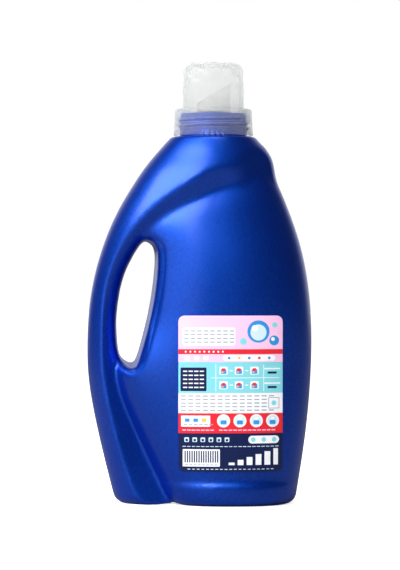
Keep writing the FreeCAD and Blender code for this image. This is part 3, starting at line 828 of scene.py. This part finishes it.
def cap_mesh(settings):
    """The cap's skirt, cup and crown, outside and inside, with its thread."""
    around = 360
    wall = settings.wall / MM
    edge = 1.5
    outside = [(SKIRT_OUTSIDE - 0.3, SKIRT_FOOT), (SKIRT_OUTSIDE, SKIRT_FOOT + 0.3)]
    outside += [(SKIRT_OUTSIDE - 0.8 * t, SKIRT_FOOT + 15.5 * t) for t in (0.25, 0.5, 0.75)]
    outside += arc(SKIRT_HEAD - edge, SKIRT_TOP - edge, edge, 0, 90, 8)
    outside += arc(CUP_RADIUS + 0.6, SKIRT_TOP + 0.6, 0.6, 270, 180, 5)
    outside += [(CUP_RADIUS, SKIRT_TOP + step) for step in (3.0, 6.0, 9.0)]
    inside = [(SKIRT_OUTSIDE - wall - 0.0, SKIRT_FOOT)]
    height = SKIRT_TOP - wall - SKIRT_FOOT
    rows = 64
    for row in range(1, rows + 1):
        share = row / rows
        inside.append((SKIRT_OUTSIDE - wall - 0.8 * share, SKIRT_FOOT + height * share))
    inside += [(CUP_RADIUS - wall + 0.3, SKIRT_TOP - wall), (CUP_RADIUS - wall, SKIRT_TOP - wall + 0.3)]
    inside += [(CUP_RADIUS - wall, SKIRT_TOP + step) for step in (3.0, 6.0, 9.0)]
    outer = round_rings(outside, around)
    inner = round_rings(inside, around)
    turn = 2 * np.pi * np.arange(around) / around
    for ring in inner:
        z = ring[0, 2]
        if z > SKIRT_TOP - wall - 0.5:
            break
        nearest = np.full(around, 9.0)
        last = THREAD_RISE / THREAD_PITCH
        for lap in range(int(last) + 1):
            wound = lap + turn / (2 * np.pi)
            gap = np.abs(z - THREAD_FOOT - THREAD_PITCH * wound)
            nearest = np.where(wound <= last, np.minimum(nearest, gap), nearest)
        bead = 1.9 * np.sqrt(np.clip(1 - (nearest / 1.3) ** 2, 0, None))
        radius = np.hypot(ring[:, 0] - AXIS_X, ring[:, 1]) - bead
        ring[:, 0] = AXIS_X + radius * np.cos(turn)
        ring[:, 1] = radius * np.sin(turn)
    outer = np.concatenate([outer, crown_rings(settings, around, 0.0)])
    inner = np.concatenate([inner, crown_rings(settings, around, wall)])
    return turned("dosing_cap_shell", outer * MM, inner * MM)


def natural_polypropylene(name, colour, milk):
    """Unpigmented polypropylene, injection moulded.

    A thin wall lets part of the light straight through and scatters the rest, so it looks milky.
    Seen along the wall there is more of it in the way, and it clouds."""
    material = new_material(name)
    tree = material.node_tree
    place = add(tree, "ShaderNodeTexCoord").outputs["Object"]
    # Flow lines of the melt, a few millimetres wide
    flow = add(tree, "ShaderNodeTexNoise", {"Vector": place, "Scale": 1 / (6 * MM), "Detail": 2.0})
    rough = add(
        tree, "ShaderNodeMapRange", {"Value": flow.outputs[0], "To Min": 0.16, "To Max": 0.26}
    )
    bump = add(
        tree, "ShaderNodeBump", {"Height": flow.outputs[0], "Strength": 0.03, "Distance": 0.0002}
    )
    lit = add(tree, "ShaderNodeBsdfDiffuse", {"Color": opaque(colour), "Normal": bump})
    lit_through = add(tree, "ShaderNodeBsdfTranslucent", {"Color": opaque(colour), "Normal": bump})
    scattered = add(tree, "ShaderNodeMixShader", {0: 0.78, 1: lit, 2: lit_through})
    straight = add(tree, "ShaderNodeBsdfTransparent", {"Color": (0.987, 0.988, 0.985, 1.0)})
    along_wall = add(tree, "ShaderNodeLayerWeight", {"Blend": 0.1}).outputs["Facing"]
    cloud = add(
        tree,
        "ShaderNodeMapRange",
        {"Value": along_wall, "To Min": milk, "To Max": 0.9},
    )
    wall = add(
        tree, "ShaderNodeMixShader", {0: cloud.outputs["Result"], 1: straight, 2: scattered}
    )
    gloss = add(
        tree, "ShaderNodeBsdfGlossy", {"Roughness": rough.outputs["Result"], "Normal": bump}
    )
    # Mirror share of a plastic surface, the same from its inside
    slant = add(tree, "ShaderNodeLayerWeight", {"Blend": 0.5}).outputs["Facing"]
    steep = add(tree, "ShaderNodeMath", {0: slant, 1: 5.0}, operation="POWER")
    mirror = add(tree, "ShaderNodeMapRange", {"Value": steep, "To Min": 0.015, "To Max": 0.7})
    show(tree, add(tree, "ShaderNodeMixShader", {0: mirror, 1: wall, 2: gloss}))
    return material


class LAUNDRY_OT_cap(bpy.types.Operator):
    """Milky dosing cap with its swirl crown"""

    bl_idname = "laundry.cap"
    bl_label = "Dosing cap"

    def execute(self, context):
        looks = context.scene.laundry_cap
        mesh = cap_mesh(looks)
        mesh.shade_smooth()
        mesh.set_sharp_from_angle(angle=math.radians(50))
        piece = new_object("dosing_cap_shell", mesh)
        mesh.materials.append(natural_polypropylene("natural_pp_cap", looks.cap_colour, 0.19))
        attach(piece, "cap_body")
        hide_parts("dosing_cap")
        return {"FINISHED"}


class LAUNDRY_OT_spout(bpy.types.Operator):
    """Pour spout under the cap"""

    bl_idname = "laundry.spout"
    bl_label = "Pour spout"

    def execute(self, context):
        looks = context.scene.laundry_spout
        material = natural_polypropylene("natural_pp_spout", looks.spout_colour, 0.07)
        frame["nodes"]["pour_spout"].material_slots[0].material = material
        return {"FINISHED"}


# Labels


def body_surface(x, z):
    """Half-depth of the body's panel at a place on it."""
    left = along(CORE_SIDE, z)
    right = along(BODY_SIDE, z)
    share = np.abs((2 * x - left - right) / (right - left))
    depth = DEPTH_STRETCH * along(CORE_DEPTH, z)
    return depth * (1 - share**CORE_SQUARENESS) ** (1 / CORE_SQUARENESS)


def label_mesh(name, side, width, height):
    """Film with round corners, laid on the body: two layers joined round the edge."""
    corner = 4.0
    film = (0.08, 0.28)
    columns = 60
    half = height / 2
    ends = half - corner + corner * np.sin(np.radians(np.linspace(0, 90, 9)))
    rows = np.concatenate([-ends[::-1], np.linspace(corner - half, half - corner, 80)[1:-1], ends])
    past = np.maximum(np.abs(rows) - (half - corner), 0)
    reach = width / 2 - corner + np.sqrt(corner**2 - past**2)
    share = np.linspace(-1, 1, columns)
    x = LABEL_X + reach[:, None] * share[None, :]
    z = LABEL_Z + np.repeat(rows[:, None], columns, axis=1)
    layers = [np.stack([x, side * (body_surface(x, z) + lift), z], axis=2) for lift in film]
    points = np.concatenate([layer.reshape(-1, 3) for layer in layers]) * MM
    count = len(rows) * columns
    faces = []
    for row in range(len(rows) - 1):
        for column in range(columns - 1):
            base = row * columns + column
            face = (base, base + 1, base + columns + 1, base + columns)
            faces.append(face)
            faces.append(tuple(count + corner for corner in reversed(face)))
    rim = list(range(columns))
    rim += [row * columns + columns - 1 for row in range(1, len(rows))]
    rim += [count - 1 - column for column in range(1, columns)]
    rim += [row * columns for row in range(len(rows) - 2, 0, -1)]
    for here, there in zip(rim, rim[1:] + rim[:1]):
        faces.append((there, here, here + count, there + count))
    if side < 0:
        faces = [tuple(reversed(face)) for face in faces]
    mesh = bpy.data.meshes.new(name)
    mesh.from_pydata(points.tolist(), [], faces)
    mesh.update()
    return mesh


# Print in millimetres from the label's middle: ink, first field, half its size, corner, how many
# across and down, and the steps between them
BACK_PRINT = [
    ("red", (0, 27.2), (34, 1.6), 0, (1, 1), (1, 1)),
    ("turquoise", (0, 10.5), (34, 10.0), 0, (1, 1), (1, 1)),
    ("paper", (0, -6.0), (34, 6.5), 0, (1, 1), (1, 1)),
    ("red", (0, -19.0), (34, 6.5), 0, (1, 1), (1, 1)),
    ("navy", (0, -38.5), (34, 13.0), 0, (1, 1), (1, 1)),
    # Panel of short lines, and bubbles, on the pink field
    ("paper", (-14.0, 37.0), (17.0, 5.8), 1.2, (1, 1), (1, 1)),
    ("grey", (-28.6, 40.6), (1.5, 0.4), 0.3, (8, 4), (4.2, -2.4)),
    ("blue", (18.0, 40.2), (7.2, 7.2), 7.2, (1, 1), (1, 1)),
    ("sky", (18.0, 39.6), (5.2, 5.2), 5.2, (1, 1), (1, 1)),
    ("paper", (15.6, 42.4), (2.0, 2.0), 2.0, (1, 1), (1, 1)),
    ("blue", (28.2, 34.4), (3.2, 3.2), 3.2, (1, 1), (1, 1)),
    ("paper", (27.4, 35.3), (1.2, 1.2), 1.2, (1, 1), (1, 1)),
    ("turquoise", (8.2, 33.8), (2.2, 2.2), 2.2, (1, 1), (1, 1)),
    ("turquoise", (28.6, 44.4), (1.7, 1.7), 1.7, (1, 1), (1, 1)),
    # Dots on the red band, and a white pill with coloured dots under it
    ("paper", (-29.0, 27.2), (0.6, 0.6), 0.6, (9, 1), (3.0, 1)),
    ("paper", (12.0, 23.1), (17.0, 1.8), 1.8, (1, 1), (1, 1)),
    ("blue", (-1.0, 23.1), (0.9, 0.9), 0.9, (3, 1), (13.0, 1)),
    ("yellow", (5.5, 23.1), (0.9, 0.9), 0.9, (1, 1), (1, 1)),
    ("red", (18.5, 23.1), (0.9, 0.9), 0.9, (1, 1), (1, 1)),
    ("paper", (-28.0, 23.1), (1.6, 1.4), 0.4, (3, 1), (6.0, 1)),
    # Table of small squares on the turquoise field, with a navy block of lines at its left
    ("navy", (-24.0, 9.4), (8.4, 7.6), 0.6, (1, 1), (1, 1)),
    ("paper", (-29.4, 14.6), (1.4, 0.4), 0.3, (4, 5), (3.6, -2.6)),
    ("paper", (9.4, 10.3), (22.0, 0.18), 0, (1, 1), (1, 1)),
    ("paper", (-9.6, 10.3), (0.18, 8.6), 0, (2, 1), (31.0, 1)),
    ("paper", (-4.6, 15.0), (2.7, 2.5), 0.6, (3, 2), (10.0, -9.4)),
    ("blue", (-4.6, 14.4), (1.9, 1.5), 0.4, (3, 2), (10.0, -9.4)),
    ("red", (-4.6, 15.6), (1.2, 0.9), 0.4, (3, 2), (10.0, -9.4)),
    ("yellow", (-5.4, 14.0), (0.7, 0.5), 0.3, (3, 2), (10.0, -9.4)),
    ("paper", (0.4, 15.0), (1.0, 0.4), 0.3, (2, 2), (10.0, -9.4)),
    ("paper", (24.4, 16.2), (2.6, 0.45), 0.3, (2, 2), (5.2, -9.4)),
    ("navy", (26.9, 13.6), (3.0, 0.7), 0.5, (1, 2), (1, -9.4)),
    # Short lines on the white field
    ("grey", (-30.6, -1.4), (1.7, 0.38), 0.3, (13, 5), (4.75, -2.3)),
    ("grey", (28.0, -6.0), (3.6, 3.6), 0.5, (1, 1), (1, 1)),
    ("paper", (28.0, -6.0), (3.2, 3.2), 0.4, (1, 1), (1, 1)),
    ("turquoise", (28.0, -6.0), (1.6, 1.6), 1.6, (1, 1), (1, 1)),
    # White box and four round marks on the red field
    ("paper", (-22.6, -17.6), (9.4, 3.6), 0.5, (1, 1), (1, 1)),
    ("blue", (-28.0, -17.0), (1.5, 1.1), 0.3, (2, 1), (5.4, 1)),
    ("yellow", (-17.2, -17.0), (1.5, 1.1), 0.3, (1, 1), (1, 1)),
    ("grey", (-29.2, -19.8), (1.3, 0.3), 0.2, (6, 1), (3.3, 1)),
    ("pink", (-30.0, -23.4), (1.2, 0.35), 0.2, (7, 1), (3.0, 1)),
    ("paper", (-4.6, -17.4), (4.2, 4.2), 4.2, (4, 1), (10.6, 1)),
    ("sky", (-4.6, -17.4), (3.4, 3.4), 3.4, (4, 1), (10.6, 1)),
    ("blue", (-4.6, -18.4), (1.9, 1.3), 0.6, (4, 1), (10.6, 1)),
    ("paper", (-4.6, -15.9), (1.1, 0.9), 0.4, (4, 1), (10.6, 1)),
    ("pink", (-6.4, -23.4), (1.2, 0.35), 0.2, (12, 1), (3.1, 1)),
    # Pill, rules, striped box and dosing scale on the navy field
    ("paper", (21.4, -29.6), (10.0, 2.5), 2.5, (1, 1), (1, 1)),
    ("turquoise", (14.6, -29.6), (1.5, 1.5), 1.5, (3, 1), (6.8, 1)),
    ("sky", (-28.4, -29.6), (1.5, 1.5), 0.6, (6, 1), (5.2, 1)),
    ("navy", (-28.4, -29.9), (0.8, 0.8), 0.3, (6, 1), (5.2, 1)),
    ("sky", (-30.0, -34.0), (1.1, 0.22), 0.1, (21, 1), (3.0, 1)),
    ("paper", (-19.0, -41.4), (12.0, 5.6), 0.4, (1, 1), (1, 1)),
    ("navy", (-29.4, -40.6), (0.42, 3.8), 0, (15, 1), (1.5, 1)),
    ("grey", (-28.4, -45.9), (1.0, 0.3), 0.2, (8, 1), (2.7, 1)),
    ("paper", (0.6, -45.2), (1.9, 0.8), 0.2, (1, 1), (1, 1)),
    ("paper", (6.4, -44.3), (1.9, 1.7), 0.2, (1, 1), (1, 1)),
    ("paper", (12.2, -43.4), (1.9, 2.6), 0.2, (1, 1), (1, 1)),
    ("paper", (18.0, -42.5), (1.9, 3.5), 0.2, (1, 1), (1, 1)),
    ("paper", (23.8, -41.6), (1.9, 4.4), 0.2, (1, 1), (1, 1)),
    ("paper", (29.2, -40.7), (1.5, 5.3), 0.2, (1, 1), (1, 1)),
    ("sky", (-27.0, -48.7), (0.9, 0.22), 0.1, (19, 1), (3.0, 1)),
]
FRONT_PRINT = [
    ("paper", (0, 6.0), (38, 24.0), 0, (1, 1), (1, 1)),
    ("turquoise", (0, -26.0), (38, 8.0), 0, (1, 1), (1, 1)),
    ("navy", (0, -44.0), (38, 10.0), 0, (1, 1), (1, 1)),
    ("red", (0, 31.0), (38, 1.6), 0, (1, 1), (1, 1)),
    ("blue", (-12.0, 8.0), (15.0, 15.0), 15.0, (1, 1), (1, 1)),
    ("sky", (-12.0, 6.6), (11.6, 11.6), 11.6, (1, 1), (1, 1)),
    ("paper", (-17.0, 12.4), (4.2, 4.2), 4.2, (1, 1), (1, 1)),
    ("blue", (18.0, -4.0), (8.0, 8.0), 8.0, (1, 1), (1, 1)),
    ("paper", (15.8, -1.6), (2.6, 2.6), 2.6, (1, 1), (1, 1)),
    ("turquoise", (20.0, 20.0), (4.4, 4.4), 4.4, (1, 1), (1, 1)),
    ("paper", (-24.0, -44.0), (3.6, 1.2), 1.2, (5, 1), (12.0, 1)),
]


def printed(tree, place, first, half, corner, count, step):
    """1 inside each of a number of even fields of print, 0 outside them."""
    from_first = add(tree, "ShaderNodeVectorMath", {0: place, 1: (*first, 0)}, operation="SUBTRACT")
    if count != (1, 1):
        steps = add(tree, "ShaderNodeVectorMath", {0: from_first, 1: (*step, 1)}, operation="DIVIDE")
        middle = add(tree, "ShaderNodeVectorMath", {0: steps, 1: (0.5, 0.5, 0)}, operation="ADD")
        number = add(tree, "ShaderNodeVectorMath", {0: middle}, operation="FLOOR")
        not_before = add(tree, "ShaderNodeVectorMath", {0: number, 1: (0, 0, 0)}, operation="MAXIMUM")
        last = (count[0] - 1, count[1] - 1, 0)
        not_after = add(tree, "ShaderNodeVectorMath", {0: not_before, 1: last}, operation="MINIMUM")
        moved = add(tree, "ShaderNodeVectorMath", {0: not_after, 1: (*step, 1)}, operation="MULTIPLY")
        from_first = add(tree, "ShaderNodeVectorMath", {0: from_first, 1: moved}, operation="SUBTRACT")
    out = add(tree, "ShaderNodeVectorMath", {0: from_first}, operation="ABSOLUTE")
    straight = (half[0] - corner, half[1] - corner, 0)
    past = add(tree, "ShaderNodeVectorMath", {0: out, 1: straight}, operation="SUBTRACT")
    outside = add(tree, "ShaderNodeVectorMath", {0: past, 1: (0, 0, 0)}, operation="MAXIMUM")
    length = add(tree, "ShaderNodeVectorMath", {0: outside}, operation="LENGTH")
    edge = {0: length.outputs["Value"], 1: max(corner, 0.001)}
    return add(tree, "ShaderNodeMath", edge, operation="LESS_THAN")


def printed_film(name, inks, fields):
    """Polypropylene film label, printed and varnished: an even satin gloss over crisp inks."""
    material = new_material(name)
    tree = material.node_tree
    place = add(tree, "ShaderNodeTexCoord").outputs["Object"]
    parts = add(tree, "ShaderNodeSeparateXYZ", {0: place})
    flat = add(tree, "ShaderNodeCombineXYZ", {0: parts.outputs["X"], 1: parts.outputs["Z"]})
    middle = (LABEL_X * MM, LABEL_Z * MM, 0)
    from_middle = add(tree, "ShaderNodeVectorMath", {0: flat, 1: middle}, operation="SUBTRACT")
    spot = add(tree, "ShaderNodeVectorMath", {0: from_middle, "Scale": 1 / MM}, operation="SCALE")
    ink = opaque(inks["pink"])
    for colour, *field in fields:
        mask = printed(tree, spot, *field)
        mix = add(
            tree, "ShaderNodeMix", {0: mask, 6: ink, 7: opaque(inks[colour])}, data_type="RGBA"
        )
        ink = mix.outputs[2]
    grain = add(tree, "ShaderNodeTexNoise", {"Vector": place, "Scale": 1 / (0.8 * MM), "Detail": 2.0})
    bump = add(
        tree, "ShaderNodeBump", {"Height": grain.outputs[0], "Strength": 0.04, "Distance": 0.0001}
    )
    shader = add(
        tree,
        "ShaderNodeBsdfPrincipled",
        {"Base Color": ink, "Roughness": 0.36, "IOR": 1.4, "Normal": bump},
    )
    show(tree, shader)
    return material


class LAUNDRY_OT_labels(bpy.types.Operator):
    """Printed film labels, back and front"""

    bl_idname = "laundry.labels"
    bl_label = "Labels"

    def execute(self, context):
        looks = context.scene.laundry_labels
        inks = {name: getattr(looks, name) for name in looks.__annotations__}
        for name, side, width, height, fields in (
            ("back_label", -1, 67.5, 101.0, BACK_PRINT),
            ("front_label", 1, 74.0, 106.0, FRONT_PRINT),
        ):
            mesh = label_mesh(name + "_film", side, width, height)
            mesh.shade_smooth()
            mesh.set_sharp_from_angle(angle=math.radians(50))
            mesh.materials.append(printed_film("printed_pp_" + name, inks, fields))
            film = new_object(name + "_film", mesh)
            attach(film, "bottle_body")
            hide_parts(name)
        return {"FINISHED"}


class LAUNDRY_PT_panel(bpy.types.Panel):
    """Sizes and colours of the bottle, and what makes each piece"""

    bl_idname = "LAUNDRY_PT_panel"
    bl_label = "Laundry bottle"
    bl_space_type = "VIEW_3D"
    bl_region_type = "UI"
    bl_category = "Laundry bottle"

    def draw(self, context):
        for name, group, operator in PIECES:
            box = self.layout.box()
            box.operator(operator)
            for setting in group.__annotations__:
                box.prop(getattr(context.scene, name), setting)


PIECES = (
    ("laundry_studio", StudioSettings, LAUNDRY_OT_stage.bl_idname),
    ("laundry_bottle", BottleSettings, LAUNDRY_OT_bottle.bl_idname),
    ("laundry_cap", CapSettings, LAUNDRY_OT_cap.bl_idname),
    ("laundry_spout", SpoutSettings, LAUNDRY_OT_spout.bl_idname),
    ("laundry_labels", LabelSettings, LAUNDRY_OT_labels.bl_idname),
)
CLASSES = (
    StudioSettings,
    BottleSettings,
    CapSettings,
    SpoutSettings,
    LabelSettings,
    LAUNDRY_OT_stage,
    LAUNDRY_OT_bottle,
    LAUNDRY_OT_cap,
    LAUNDRY_OT_spout,
    LAUNDRY_OT_labels,
    LAUNDRY_PT_panel,
)


def register():
    for kind in CLASSES:
        bpy.utils.register_class(kind)
    for name, group, _ in PIECES:
        setattr(bpy.types.Scene, name, PointerProperty(type=group))


def unregister():
    for name, _, _ in PIECES:
        delattr(bpy.types.Scene, name)
    for kind in reversed(CLASSES):
        bpy.utils.unregister_class(kind)


def main():
    register()
    bpy.ops.laundry.stage()
    bpy.ops.laundry.bottle()
    bpy.ops.laundry.cap()
    bpy.ops.laundry.spout()
    bpy.ops.laundry.labels()


if __name__ == "__main__":
    main()
